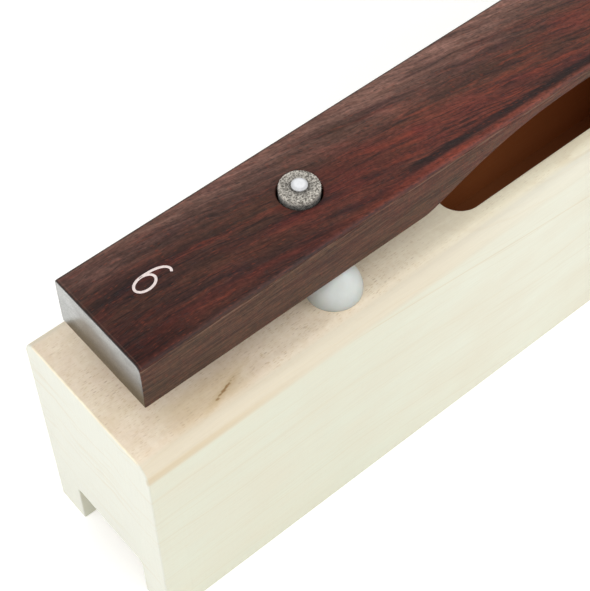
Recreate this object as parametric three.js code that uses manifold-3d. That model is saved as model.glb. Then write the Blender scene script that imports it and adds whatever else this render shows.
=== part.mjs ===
// A resonator bar: one tuned rosewood sound bar on its own wooden resonator box.
// The bar lies on four rubber buffers and hangs loosely on two felt-covered pins, so it can be lifted off.
// Millimetres, +Z up. X runs along the bar and Y across it. The origin is on the table, under the middle.

import * as THREE from 'three';
import { mergeVertices } from 'three/addons/utils/BufferGeometryUtils.js';
import Module from 'manifold-3d';

const wasm = await Module();
wasm.setup();

// Sound bar
const barLength = 350;
const barWidth = 40;
const barThickness = 19;
const barNearEdgeRadius = 2.4;
const barFarEdgeRadius = 0.8;
const barEndChamfer = 0.8;

// Undercut that tunes the bar: its middle is planed thin between the two pins
const barMiddleThickness = 4.8;
const pinToUndercut = 33;
const undercutFullness = 2.8;
const undercutFootSoftness = 1.4;

// Pin holes, at the two still points of the bar's lowest note
const pinFromBarEnd = 73;
const pinHoleDiameter = 14;

// Pins and the felt tubes on them
const pinDiameter = 3;
const pinHeadDiameter = 5;
const pinHeadHeight = 1;
const pinHeadRim = 0.4;
const pinHeadAboveFelt = 0.4;
const pinDepthInRail = 9;
const pinPointLength = 3;
const feltAboveBar = 2.4;
const feltEdgeRadius = 0.4;
const feltToBarClearance = 0.65;

// Rubber buffers
const bufferDiameter = 18;
const bufferHeight = 12;
const bufferSkirt = 1;
const bufferRoundness = 1.7;
const bufferToFeltClearance = 0.4;
const bufferStemDiameter = 6;
const woodUnderStem = 2;

// Resonator box
const boxEndBeyondBar = 9;
const boxWidth = 61;
const boxHeight = 93;
const boxEdgeRadius = 7;
const topThickness = 12;
const sideThickness = 10;
const endThickness = 10;
const endArris = 0.5;
const bottomThickness = 6;
const grooveDepth = 3;

// Mouth in the top board, finger notches in the end walls, rails that take the pins
const pinToMouth = 47.5;
const mouthCornerRadius = 8;
const notchWidth = 35;
const notchHeight = 20;
const notchCornerRadius = 2;
const railLength = 20;
const railHeight = 15;

// Gap left all round where one piece sits in another
const fitGap = 0.3;

// Fineness of the curves, in steps
const undercutSteps = 56;
const roundSteps = 36;
const pinSteps = 20;
const edgeSteps = 8;
const domeSteps = 7;
const feltEdgeSteps = 3;
const arrisSteps = 2;

// Sizes that follow from the ones above
const boxLength = barLength + 2 * boxEndBeyondBar;
const insideLength = boxLength - 2 * endThickness;
const insideWidth = boxWidth - 2 * sideThickness;
const edgeRadius = Math.min(boxEdgeRadius, topThickness);
const topUnderside = boxHeight - topThickness;
const barUnderside = boxHeight + bufferHeight;
const bottomUnderside = notchHeight;
const pinX = barLength / 2 - pinFromBarEnd;
const mouthLength = 2 * (pinX - pinToMouth);
const undercutHalf = pinX - pinToUndercut;
const undercutDepth = barThickness - barMiddleThickness;
const feltRadius = pinHoleDiameter / 2 - feltToBarClearance;
const feltTop = bufferHeight + barThickness + feltAboveBar;
const bufferRadius = bufferDiameter / 2;
const bufferY = feltRadius + bufferToFeltClearance + bufferRadius;
const stemLength = topThickness - woodUnderStem - fitGap;
const overcut = 5;

function finish(color, roughness, metalness = 0) {
  return new THREE.MeshStandardMaterial({ color, roughness, metalness, flatShading: true });
}

const rosewood = finish(0x5a3130, 0.45);
const paleWood = finish(0xe6dcc6, 0.6);
const rubber = finish(0xdedfdb, 0.5);
const felt = finish(0xa39a90, 0.95);
const steel = finish(0xd8d9dc, 0.25, 1);

// A closed three.js geometry as a solid that can be cut. Flat triangles at a pole or seam are dropped.
function toSolid(geometry) {
  const bare = geometry.clone();
  bare.deleteAttribute('normal');
  bare.deleteAttribute('uv');
  const merged = mergeVertices(bare);
  const corners = [];
  for (let i = 0; i < merged.index.count; i += 3) {
    const [a, b, c] = [0, 1, 2].map((k) => merged.index.getX(i + k));
    if (a !== b && b !== c && c !== a) {
      corners.push(a, b, c);
    }
  }
  const mesh = new wasm.Mesh({
    numProp: 3,
    vertProperties: new Float32Array(merged.attributes.position.array),
    triVerts: new Uint32Array(corners),
  });
  return new wasm.Manifold(mesh);
}

function toGeometry(solid) {
  const mesh = solid.getMesh();
  const geometry = new THREE.BufferGeometry();
  geometry.setAttribute('position', new THREE.BufferAttribute(mesh.vertProperties, 3));
  geometry.setIndex(new THREE.BufferAttribute(mesh.triVerts, 1));
  geometry.computeVertexNormals();
  return geometry;
}

function cutAway(body, tools) {
  const solid = tools.reduce((left, tool) => left.subtract(toSolid(tool)), toSolid(body));
  return toGeometry(solid);
}

function keepCommon(first, second) {
  return toGeometry(toSolid(first).intersect(toSolid(second)));
}

// An outline drawn in X and Z, pushed along Y so that it is centred on Y = 0
function extrudeAcross(outline, width) {
  const geometry = new THREE.ExtrudeGeometry(outline, {
    depth: width,
    bevelEnabled: false,
    curveSegments: edgeSteps,
  });
  const turn = new THREE.Matrix4().makeBasis(
    new THREE.Vector3(1, 0, 0),
    new THREE.Vector3(0, 0, 1),
    new THREE.Vector3(0, -1, 0),
  );
  return geometry.applyMatrix4(turn).translate(0, width / 2, 0);
}

// An outline drawn in Y and Z, pushed along X so that it is centred on X = 0
function extrudeAlong(outline, length, bevel = 0) {
  const geometry = new THREE.ExtrudeGeometry(outline, {
    depth: length - 2 * bevel,
    bevelEnabled: bevel > 0,
    bevelThickness: bevel,
    bevelSize: bevel,
    bevelOffset: -bevel,
    bevelSegments: arrisSteps,
    curveSegments: edgeSteps,
  });
  const turn = new THREE.Matrix4().makeBasis(
    new THREE.Vector3(0, 1, 0),
    new THREE.Vector3(0, 0, 1),
    new THREE.Vector3(1, 0, 0),
  );
  return geometry.applyMatrix4(turn).translate(bevel - length / 2, 0, 0);
}

// A profile of [radius, height] points, turned about Z
function turned(profile, steps = roundSteps) {
  const points = profile.map(([radius, height]) => new THREE.Vector2(radius, height));
  return toGeometry(toSolid(new THREE.LatheGeometry(points, steps).rotateX(Math.PI / 2)));
}

function drill(diameter, bottom, top, x, y) {
  const depth = top - bottom;
  const geometry = new THREE.CylinderGeometry(diameter / 2, diameter / 2, depth, roundSteps);
  return geometry.rotateX(Math.PI / 2).translate(x, y, bottom + depth / 2);
}

function block(sizeX, sizeY, bottom, top) {
  return new THREE.BoxGeometry(sizeX, sizeY, top - bottom).translate(0, 0, (bottom + top) / 2);
}

// A flat-bottomed outline whose two upper corners are rounded, alike unless the near one has its own radius
function loafOutline(width, bottom, top, radius, nearRadius = radius) {
  const half = width / 2;
  const outline = new THREE.Shape();
  outline.moveTo(-half, bottom);
  outline.lineTo(half, bottom);
  outline.absarc(half - radius, top - radius, radius, 0, Math.PI / 2, false);
  outline.absarc(nearRadius - half, top - nearRadius, nearRadius, Math.PI / 2, Math.PI, false);
  outline.closePath();
  return outline;
}

function roundedRectangle(length, width, radius) {
  const x = length / 2 - radius;
  const y = width / 2 - radius;
  const outline = new THREE.Shape();
  outline.absarc(x, y, radius, 0, Math.PI / 2, false);
  outline.absarc(-x, y, radius, Math.PI / 2, Math.PI, false);
  outline.absarc(-x, -y, radius, Math.PI, 1.5 * Math.PI, false);
  outline.absarc(x, -y, radius, 1.5 * Math.PI, 2 * Math.PI, false);
  outline.closePath();
  return outline;
}

// How far the bar's underside is planed away at x: a soft start, then a long shallow arch
function undercutAt(x) {
  const reach = Math.min(1, Math.abs(x) / undercutHalf);
  return undercutDepth * (1 - reach ** undercutFullness) ** undercutFootSoftness;
}

// The bar seen from the side, with its tuned underside, its top corners taken off at both ends
function barSideOutline() {
  const half = barLength / 2;
  const outline = new THREE.Shape();
  outline.moveTo(-half, 0);
  for (let step = 0; step <= undercutSteps; step += 1) {
    const x = undercutHalf * (2 * step / undercutSteps - 1);
    outline.lineTo(x, undercutAt(x));
  }
  outline.lineTo(half, 0);
  outline.lineTo(half, barThickness - barEndChamfer);
  outline.lineTo(half - barEndChamfer, barThickness);
  outline.lineTo(barEndChamfer - half, barThickness);
  outline.lineTo(-half, barThickness - barEndChamfer);
  outline.closePath();
  return outline;
}

// Sound bar, with its underside at height 0
function soundBarGeometry() {
  const fromTheSide = extrudeAcross(barSideOutline(), barWidth);
  const section = loafOutline(barWidth, 0, barThickness, barFarEdgeRadius, barNearEdgeRadius);
  const fromTheEnd = extrudeAlong(section, barLength);
  const holes = [-pinX, pinX].map((x) => drill(pinHoleDiameter, -overcut, barThickness + overcut, x, 0));
  return cutAway(keepCommon(fromTheSide, fromTheEnd), holes);
}

// Nail-like pin with a domed head. Height 0 is the top of the box.
function pinGeometry() {
  const shank = pinDiameter / 2;
  const head = pinHeadDiameter / 2;
  const headUnderside = feltTop + pinHeadAboveFelt;
  const domeFoot = headUnderside + pinHeadRim;
  const tip = -topThickness - pinDepthInRail;
  const dome = [];
  for (let step = 0; step <= domeSteps; step += 1) {
    const angle = (Math.PI / 2) * (step / domeSteps);
    dome.push([head * Math.cos(angle), domeFoot + (pinHeadHeight - pinHeadRim) * Math.sin(angle)]);
  }
  dome[domeSteps][0] = 0;
  const stem = [[0, tip], [shank, tip + pinPointLength], [shank, headUnderside], [head, headUnderside]];
  return turned([...stem, ...dome], pinSteps);
}

// Felt tube round the pin: it stands on the box and passes through the bar
function feltBushGeometry() {
  const bore = pinDiameter / 2 + fitGap;
  const outline = [[bore, 0], [feltRadius, 0]];
  for (let step = 0; step <= feltEdgeSteps; step += 1) {
    const angle = (Math.PI / 2) * (step / feltEdgeSteps);
    const radius = feltRadius - feltEdgeRadius * (1 - Math.cos(angle));
    outline.push([radius, feltTop - feltEdgeRadius * (1 - Math.sin(angle))]);
  }
  outline.push([bore, feltTop], [bore, 0]);
  return turned(outline);
}

// Rubber buffer: a dome on a short skirt, and the stem that is pushed into the top board
function bufferGeometry() {
  const stem = bufferStemDiameter / 2;
  const outline = [[0, -stemLength], [stem, -stemLength], [stem, 0], [bufferRadius, 0]];
  for (let step = 0; step <= domeSteps; step += 1) {
    const angle = (Math.PI / 2) * (step / domeSteps);
    const across = Math.cos(angle) ** (2 / bufferRoundness);
    const up = Math.sin(angle) ** (2 / bufferRoundness);
    outline.push([bufferRadius * across, bufferSkirt + (bufferHeight - bufferSkirt) * up]);
  }
  outline[outline.length - 1][0] = 0;
  return turned(outline);
}

// Top board between the end walls, with the mouth, the pin holes and the holes for the buffers' stems
function topBoardGeometry() {
  const board = extrudeAlong(loafOutline(boxWidth, topUnderside, boxHeight, edgeRadius), insideLength);
  const cornerRadius = Math.min(mouthCornerRadius, insideWidth / 2);
  const mouthOutline = roundedRectangle(mouthLength, insideWidth, cornerRadius);
  const mouth = new THREE.ExtrudeGeometry(mouthOutline, {
    depth: topThickness + 2 * overcut,
    bevelEnabled: false,
    curveSegments: edgeSteps,
  });
  mouth.translate(0, 0, topUnderside - overcut);
  const tools = [mouth];
  const stemHole = bufferStemDiameter + 2 * fitGap;
  for (const x of [-pinX, pinX]) {
    tools.push(drill(pinDiameter + 2 * fitGap, topUnderside - overcut, boxHeight + overcut, x, 0));
    for (const y of [-bufferY, bufferY]) {
      tools.push(drill(stemHole, topUnderside + woodUnderStem, boxHeight + overcut, x, y));
    }
  }
  return cutAway(board, tools);
}

// Rail under the top board that the pin is driven into
function pinRailGeometry() {
  const rail = block(railLength, insideWidth, topUnderside - railHeight, topUnderside);
  const lowest = topUnderside - railHeight - overcut;
  const hole = drill(pinDiameter + 2 * fitGap, lowest, topUnderside + overcut, 0, 0);
  return cutAway(rail, [hole]);
}

// The bottom board stands on the lower edge of a groove that runs round all four walls
function grooveTool() {
  const length = insideLength + 2 * grooveDepth;
  const width = insideWidth + 2 * grooveDepth;
  return block(length, width, bottomUnderside, bottomUnderside + bottomThickness + fitGap);
}

function sideWallGeometry(side) {
  const wall = block(insideLength, sideThickness, 0, topUnderside);
  wall.translate(0, side * (boxWidth - sideThickness) / 2, 0);
  return cutAway(wall, [grooveTool()]);
}

// End wall with the box's full outline, an eased outer edge and a finger notch at the table
function endWallGeometry(side) {
  const outline = loafOutline(boxWidth, 0, boxHeight, edgeRadius);
  const bothFacesEased = extrudeAlong(outline, 2 * endThickness, endArris);
  bothFacesEased.translate(side * (boxLength / 2 - endThickness), 0, 0);
  const outerHalf = block(endThickness, 2 * boxWidth, -overcut, boxHeight + overcut);
  outerHalf.translate(side * (boxLength - endThickness) / 2, 0, 0);
  const notchOutline = loafOutline(notchWidth, -overcut, notchHeight, notchCornerRadius);
  const notch = extrudeAlong(notchOutline, 4 * endThickness);
  notch.translate(side * boxLength / 2, 0, 0);
  return cutAway(keepCommon(bothFacesEased, outerHalf), [grooveTool(), notch]);
}

function bottomBoardGeometry() {
  const length = insideLength + 2 * (grooveDepth - fitGap);
  const width = insideWidth + 2 * (grooveDepth - fitGap);
  return block(length, width, bottomUnderside, bottomUnderside + bottomThickness);
}

function piece(name, geometry, material, x = 0, y = 0, z = 0) {
  const mesh = new THREE.Mesh(geometry, material);
  mesh.name = name;
  mesh.position.set(x, y, z);
  return mesh;
}

// The box, with what is fixed to it
const box = new THREE.Group();
box.add(
  piece('top_board', topBoardGeometry(), paleWood),
  piece('side_wall_near', sideWallGeometry(-1), paleWood),
  piece('side_wall_far', sideWallGeometry(1), paleWood),
  piece('end_wall_left', endWallGeometry(-1), paleWood),
  piece('end_wall_right', endWallGeometry(1), paleWood),
  piece('bottom_board', bottomBoardGeometry(), paleWood),
);

const ends = [['left', -1], ['right', 1]];
const sides = [['near', -1], ['far', 1]];
for (const [end, along] of ends) {
  const x = along * pinX;
  box.add(piece(`pin_rail_${end}`, pinRailGeometry(), paleWood, x));
  box.add(piece(`pin_${end}`, pinGeometry(), steel, x, 0, boxHeight));
  box.add(piece(`felt_bush_${end}`, feltBushGeometry(), felt, x, 0, boxHeight));
  for (const [side, across] of sides) {
    box.add(piece(`buffer_${end}_${side}`, bufferGeometry(), rubber, x, across * bufferY, boxHeight));
  }
}

// The bar, resting on the four buffers
const bar = new THREE.Group();
bar.position.z = barUnderside;
bar.add(piece('sound_bar', soundBarGeometry(), rosewood));

const resonatorBar = new THREE.Group();
resonatorBar.add(box, bar);

export default resonatorBar;
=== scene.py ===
import math

import bmesh
import bpy
from mathutils import Matrix, Vector, noise


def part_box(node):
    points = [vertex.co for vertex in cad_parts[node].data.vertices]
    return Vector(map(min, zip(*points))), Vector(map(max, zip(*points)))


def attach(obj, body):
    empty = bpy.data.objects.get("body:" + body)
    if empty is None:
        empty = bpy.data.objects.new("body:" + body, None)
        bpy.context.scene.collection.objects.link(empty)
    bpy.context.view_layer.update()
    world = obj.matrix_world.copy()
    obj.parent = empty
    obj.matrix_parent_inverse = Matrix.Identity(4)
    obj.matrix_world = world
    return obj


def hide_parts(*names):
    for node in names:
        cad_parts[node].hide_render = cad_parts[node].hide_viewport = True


bl_info = {
    "name": "Resonator Bar",
    "version": (1, 0, 0),
    "blender": (4, 5, 0),
    "location": "3D View > Sidebar > Resonator Bar",
    "description": "Dresses a tuned rosewood bar on its resonator box in wood, felt, rubber and metal",
    "category": "Add Mesh",
}

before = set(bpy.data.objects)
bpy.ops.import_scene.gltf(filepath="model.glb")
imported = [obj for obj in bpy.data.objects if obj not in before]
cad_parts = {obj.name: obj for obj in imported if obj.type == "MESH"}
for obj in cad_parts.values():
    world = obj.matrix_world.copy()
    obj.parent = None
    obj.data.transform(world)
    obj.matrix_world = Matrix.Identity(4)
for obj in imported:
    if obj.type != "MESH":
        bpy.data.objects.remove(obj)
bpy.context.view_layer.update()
MM = 0.001

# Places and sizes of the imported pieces, in metres
BAR_LOW, BAR_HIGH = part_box("sound_bar")
TOP_LOW, TOP_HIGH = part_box("top_board")
END_LOW, END_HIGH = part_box("end_wall_right")
SIDE_LOW, SIDE_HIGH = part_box("side_wall_far")
BOTTOM_LOW, BOTTOM_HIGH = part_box("bottom_board")
PIN_LOW, PIN_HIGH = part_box("pin_right")
FELT_LOW, FELT_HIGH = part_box("felt_bush_right")
BUFFER_LOW, BUFFER_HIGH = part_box("buffer_right_far")
PIN_X = (PIN_LOW.x + PIN_HIGH.x) / 2
BUFFER_Y = (BUFFER_LOW.y + BUFFER_HIGH.y) / 2
ENDS = {"left": -1, "right": 1}
SIDES = {"near": -1, "far": 1}

# How far the cutting tools reach past the wood, and how near counts as on a face
OVER = 5 * MM
TOUCH = 0.01 * MM


def paint(*levels):
    """Paint levels from 0 to 255 as the linear light that Blender calculates with."""
    shares = [level / 255 for level in levels]
    return [share / 12.92 if share <= 0.04045 else ((share + 0.055) / 1.055) ** 2.4 for share in shares]


def number(name, description, default, **limits):
    return bpy.props.FloatProperty(name=name, description=description, default=default, **limits)


def metres(name, description, default):
    return number(name, description, default, min=0.0, precision=5, unit="LENGTH")


def degrees(name, description, default):
    return number(name, description, math.radians(default), subtype="ANGLE")


def share(name, description, default, high=1.0):
    return number(name, description, default, min=0.0, max=high, subtype="FACTOR")


def watts(name, description, default):
    return number(name, description, default, unit="POWER")


def place(name, description, default):
    return bpy.props.FloatVectorProperty(
        name=name, description=description, default=default, size=3, precision=5, subtype="TRANSLATION"
    )


def colour(name, description, *levels):
    return bpy.props.FloatVectorProperty(
        name=name, description=description, default=paint(*levels), size=3, min=0.0, max=1.0, subtype="COLOR"
    )


# Settings that a user would change


class SoundBarSettings(bpy.types.PropertyGroup):
    length: metres("Length", "Length of the bar", BAR_HIGH.x - BAR_LOW.x)
    width: metres("Width", "Width of the bar", BAR_HIGH.y - BAR_LOW.y)
    thickness: metres("Thickness", "Thickness of the bar at its ends", BAR_HIGH.z - BAR_LOW.z)
    top: metres("Top", "Height of the bar's top over the table", BAR_HIGH.z)
    near_radius: metres("Near edge radius", "Rounding of the near long top edge", 2.4 * MM)
    far_radius: metres("Far edge radius", "Rounding of the far long top edge", 0.8 * MM)
    arris: metres("Arris", "Width of the flat taken off the sharp edges", 0.7 * MM)
    undercut_half: metres("Undercut half", "From the middle of the bar to the undercut's foot", 69 * MM)
    undercut_depth: metres("Undercut depth", "Wood planed away in the middle", 14.2 * MM)
    undercut_fullness: number("Undercut fullness", "How flat the arch of the undercut is", 2.8, min=1.0)
    undercut_softness: number("Undercut softness", "How gently the undercut starts", 1.4, min=1.0)
    hole_diameter: metres("Hole diameter", "Diameter of the two pin holes", 14 * MM)
    hole_chamfer: metres("Hole chamfer", "Chamfer round the pin holes", 0.25 * MM)
    stations: bpy.props.IntProperty(
        name="Stations", description="Cross-sections along the bar", default=280, min=40, max=700
    )
    grain_slope: number("Grain slope", "Drift of the grain across the bar for each length along it", 0.175)
    grain_turn: number("Grain turn", "How much the drift changes towards the left end", 0.205)
    dark_wood: colour("Dark wood", "Colour of the dark growth layers", 47, 27, 28)
    brown_wood: colour("Brown wood", "Colour of the wood between the dark layers", 84, 49, 40)
    dull_wood: colour("Dull wood", "Colour of the olive-brown clouds", 80, 60, 46)
    red_wood: colour("Red wood", "Colour of the red zones", 104, 45, 37)
    bright_wood: colour("Bright wood", "Colour of the orange streaks", 146, 66, 44)
    vein_wood: colour("Vein wood", "Colour of the near-black veins and pores", 30, 24, 24)
    side_wood: colour("Side wood", "Light growth layers on the long faces", 90, 65, 46)
    side_dark: colour("Dark side wood", "Dark growth layers on the long faces", 43, 27, 15)
    # Painted sheen: this colour paints the light band along the far edge
    sheen_wood: colour("Sheen wood", "Colour of the light band along the far edge", 122, 92, 82)
    # Painted highlight: this colour paints the light lines under the near edge and inside the ends' top edges
    side_line: colour("Side line", "Colour of the light line under the near edge", 140, 116, 102)
    # Painted shade: this colour paints dark lines along the sharp edges and in the near edge's crease
    edge_line: colour("Edge line", "Colour of the burnished line along the sharp edges", 40, 36, 33)
    end_grain: colour("End grain", "Colour of the sealed end grain", 46, 38, 28)
    # Painted reflections on the end grain: the next colour is the shaded box top mirrored low down, the one
    # after it the pale floor mirrored high up
    end_worn: colour("Worn end", "Colour of the end grain where its seal is worn", 74, 60, 36)
    end_bloom: colour("End bloom", "Colour of the wax on the upper end grain", 140, 141, 136)


class FigureSettings(bpy.types.PropertyGroup):
    height: metres("Height", "Height of the figure", 13.4 * MM)
    width: metres("Width", "Width of the figure", 5.6 * MM)
    stroke: metres("Stroke", "Width of the stroke", 0.84 * MM)
    relief: metres("Relief", "How far the stroke stands out of the wood", 0.05 * MM)
    foot_from_end: metres("Foot from end", "From the bar's end to the figure's foot", 14.6 * MM)
    from_middle: metres("From middle", "From the bar's middle line to the figure's middle", 2 * MM)
    lean: degrees("Lean", "How far the figure leans", 6)
    foil: colour("Foil", "Colour of the pressed figure", 244, 228, 224)


class BoxSettings(bpy.types.PropertyGroup):
    edge_radius: metres("Edge radius", "Rounding of the long top edges", 7 * MM)
    arris: metres("Arris", "Rounding of the end walls' outer edges", 0.5 * MM)
    mouth_arris: metres("Mouth arris", "Rounding of the mouth's edge and the side walls' feet", 0.5 * MM)
    mouth_from_pin: metres("Mouth from pin", "From the pin's axis to the mouth", 47.5 * MM)
    mouth_corner: metres("Mouth corner", "Corner radius of the mouth", 8 * MM)
    notch_width: metres("Notch width", "Width of the finger notch", 35 * MM)
    notch_height: metres("Notch height", "Height of the finger notch", 20 * MM)
    notch_corner: metres("Notch corner", "Corner radius of the notch", 2 * MM)
    pin_hole: metres("Pin hole", "Diameter of the holes for the pins", 3.6 * MM)
    stem_hole: metres("Stem hole", "Diameter of the holes for the buffers' stems", 6.6 * MM)
    wood_under_stem: metres("Wood under stem", "Wood left under the buffers' stems", 2 * MM)
    groove_depth: metres("Groove depth", "Depth of the groove for the bottom board", 3 * MM)
    fit_gap: metres("Fit gap", "Play of the bottom board in its groove", 0.3 * MM)
    side_wood: colour("Side wood", "Colour of the walls", 225, 226, 208)
    end_wood: colour("End wood", "Colour of the end walls' outer faces", 229, 229, 217)
    pale_side: colour("Pale side wood", "Colour of the walls in the middle", 234, 234, 218)
    warm_wood: colour("Warm wood", "Colour of the warm patches and the rounding", 225, 213, 190)
    top_wood: colour("Top wood", "Colour of the top face at the left", 244, 230, 207)
    # Painted light: this colour lightens the top face in the middle against the bar's shadow, and paints the
    # highlight on the ends' top arris
    pale_top: colour("Pale top wood", "Colour of the top face in the middle", 255, 248, 221)
    pink_wood: colour("Pink wood", "Colour of the pinkish clouds on the top face", 226, 198, 176)
    line_wood: colour("Line wood", "Colour of the growth lines", 208, 182, 136)
    # Painted shade in the chamber: the next two colours are darkened as shade, most under the bar's middle;
    # the third is a painted glow
    inside_wood: colour("Inside wood", "Colour of the raw wood inside the box", 148, 70, 24)
    deep_wood: colour("Deep wood", "Colour of the raw wood under the middle of the bar", 134, 66, 26)
    painted_inner_glow: colour("Inner glow", "Light that the raw walls of the chamber pass on", 67, 38, 18)
    mark: colour("Bark mark", "Colour of the flecks and of the small bark mark", 152, 112, 64)
    ply: colour("Plywood", "Colour of the bottom board", 218, 192, 152)


class FittingSettings(bpy.types.PropertyGroup):
    pin_diameter: metres("Pin diameter", "Diameter of the pin's shank", 3 * MM)
    pin_head_height: metres("Pin head height", "Height of the pin's domed head", 1 * MM)
    pin_head_rim: metres("Pin head rim", "Height of the straight rim under the dome", 0.4 * MM)
    pin_head_edge: metres("Pin head edge", "Rounding of the rim's lower edge", 0.12 * MM)
    pin_point: metres("Pin point", "Length of the pin's point", 3 * MM)
    felt_bore: metres("Felt bore", "Bore of the felt tubes", 3.6 * MM)
    felt_edge: metres("Felt edge", "Rounding of the felt's upper edge", 0.35 * MM)
    felt_lumps: metres("Felt lumps", "Height of the felt's unevenness", 0.14 * MM)
    fibre_length: metres("Fibre length", "Length of the loose felt fibres", 0.7 * MM)
    fibre_diameter: metres("Fibre diameter", "Diameter of the felt fibres", 0.045 * MM)
    fibre_density: number("Fibre density", "Loose fibres in a square metre of felt", 6.0e6, min=0.0)
    buffer_skirt: metres("Buffer skirt", "Height of the straight foot of a buffer", 1 * MM)
    buffer_roundness: number("Buffer roundness", "2 is a true ellipse, lower is more pointed", 1.7, min=1.0)
    buffer_stem: metres("Buffer stem", "Diameter of the stem in the top board", 6 * MM)
    buffer_chamfer: metres("Buffer chamfer", "Chamfer round the buffer's foot", 0.2 * MM)
    steel: colour("Steel", "Colour of the plated pins", 252, 253, 255)
    felt_light: colour("Light felt", "Colour of the felt's light wool", 216, 210, 199)
    felt_dark: colour("Dark felt", "Colour of the felt's dark wool", 104, 99, 90)
    rubber: colour("Rubber", "Colour of the buffers", 207, 211, 207)


class StageSettings(bpy.types.PropertyGroup):
    eye: place("Eye", "Where the camera stands", (-289.07 * MM, -225.25 * MM, 468.42 * MM))
    heading: degrees("Heading", "Direction of the view, from +X towards +Y", 50.638)
    dip: degrees("Dip", "How far the camera looks down", 53.468)
    roll: degrees("Roll", "How far the camera leans", -0.905)
    focal_length: number("Focal length", "Focal length in millimetres on a 36 mm sensor", 94.35, min=1.0)
    floor_size: metres("Floor size", "Side of the square floor", 8.0)
    floor: colour("Floor", "Colour of the floor", 246, 246, 244)
    floor_glow: share("Floor glow", "Light added to the floor under the object, as the camera sees it", 0.3)
    ambient: share("Ambient", "Strength of the light from all round", 0.58, 4.0)
    overhead: share("Overhead", "How bright the studio ceiling looks in reflections", 0.46)
    key_power: watts("Key power", "Power of the large soft light", 7.4)
    key_place: place("Key place", "Where the large soft light hangs", (-0.75, -0.52, 1.22))
    key_side: metres("Key side", "Side of the large soft light", 1.3)
    fill_power: watts("Fill power", "Power of the fill light", 9.8)
    fill_place: place("Fill place", "Where the fill light hangs", (0.9, -1.35, 0.85))
    fill_side: metres("Fill side", "Side of the fill light", 1.2)
    end_power: watts("End power", "Power of the light on the left end", 4.7)
    end_place: place("End place", "Where the light on the left end hangs", (-1.3, 0.4, 0.55))
    end_side: metres("End side", "Side of the light on the left end", 0.9)


# Laying out node trees


class Value:
    """One output of a node. Plain signs between values add the maths nodes that they stand for."""

    def __init__(self, tree, socket):
        self.tree = tree
        self.socket = socket

    def joined(self, operation, first, second):
        kind = "ShaderNodeVectorMath" if self.socket.type == "VECTOR" else "ShaderNodeMath"
        return self.tree.out(kind, {0: first, 1: second}, operation=operation)

    def __add__(self, other):
        return self.joined("ADD", self, other)

    def __sub__(self, other):
        return self.joined("SUBTRACT", self, other)

    def __rsub__(self, other):
        return self.joined("SUBTRACT", other, self)

    def __mul__(self, other):
        return self.joined("MULTIPLY", self, other)

    def __truediv__(self, other):
        return self.joined("DIVIDE", self, other)

    def __rtruediv__(self, other):
        return self.joined("DIVIDE", other, self)

    def __abs__(self):
        return self.tree.math("ABSOLUTE", self)


class Tree:
    """Adds nodes to one node tree from left to right, and links them as it goes."""

    column_width = 190

    def __init__(self, tree):
        self.tree = tree
        self.column = 0

    def add(self, kind, inputs=None, **settings):
        node = self.tree.nodes.new(kind)
        node.location = (self.column * self.column_width, 0)
        self.column += 1
        for name, value in settings.items():
            setattr(node, name, value)
        for key, value in (inputs or {}).items():
            self.feed(node.inputs[key], value)
        return node

    def out(self, kind, inputs=None, output=0, **settings):
        """Adds a node and gives one of its outputs."""
        return Value(self, self.add(kind, inputs, **settings).outputs[output])

    def feed(self, socket, value):
        """Links a value, or each value of a list, to the socket, or sets the socket to a plain value."""
        if isinstance(value, list):
            for one in value:
                self.feed(socket, one)
        elif isinstance(value, Value):
            self.tree.links.new(value.socket, socket)
        elif socket.type == "RGBA" and len(value) == 3:
            socket.default_value = (*value, 1.0)
        else:
            socket.default_value = value

    def math(self, operation, *values):
        return self.out("ShaderNodeMath", dict(enumerate(values)), operation=operation)

    def most(self, first, second):
        return self.math("MAXIMUM", first, second)

    def least(self, first, second):
        return self.math("MINIMUM", first, second)

    def size(self, vector):
        return self.out("ShaderNodeVectorMath", {0: vector}, 1, operation="LENGTH")

    def combine(self, x=0.0, y=0.0, z=0.0):
        return self.out("ShaderNodeCombineXYZ", {0: x, 1: y, 2: z})

    def separate(self, vector):
        return [Value(self, part) for part in self.add("ShaderNodeSeparateXYZ", {0: vector}).outputs]

    def compare(self, operation, first, second):
        return self.out("FunctionNodeCompare", {0: first, 1: second}, data_type="FLOAT", operation=operation)

    def spread(self, value, low, high, to_low=0.0, to_high=1.0, kind="SMOOTHSTEP"):
        """The value from low to high, spread over to_low to to_high and held there beyond."""
        inputs = {"Value": value, "From Min": low, "From Max": high, "To Min": to_low, "To Max": to_high}
        return self.out("ShaderNodeMapRange", inputs, interpolation_type=kind)

    def mix(self, share, first, second, kind="MIX"):
        """Two colours mixed: the second one as far as share says."""
        inputs = {0: share, 6: first, 7: second}
        return self.out("ShaderNodeMix", inputs, 2, data_type="RGBA", blend_type=kind)

    def dimmed(self, colour, level):
        return self.mix(1.0, colour, self.combine(level, level, level), "MULTIPLY")

    def light_path(self, *rays):
        """1 where the ray is of any of these kinds."""
        outputs = self.add("ShaderNodeLightPath").outputs
        values = [Value(self, outputs[f"Is {ray} Ray"]) for ray in rays]
        return values[0] if len(values) == 1 else self.most(*values)

    def close(self, geometry, material):
        """Ends a geometry tree: instances made real and the material set."""
        realized = self.out("GeometryNodeRealizeInstances", {"Geometry": geometry})
        finished = self.out("GeometryNodeSetMaterial", {"Geometry": realized, "Material": material})
        self.add("NodeGroupOutput", {"Geometry": finished})


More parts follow.
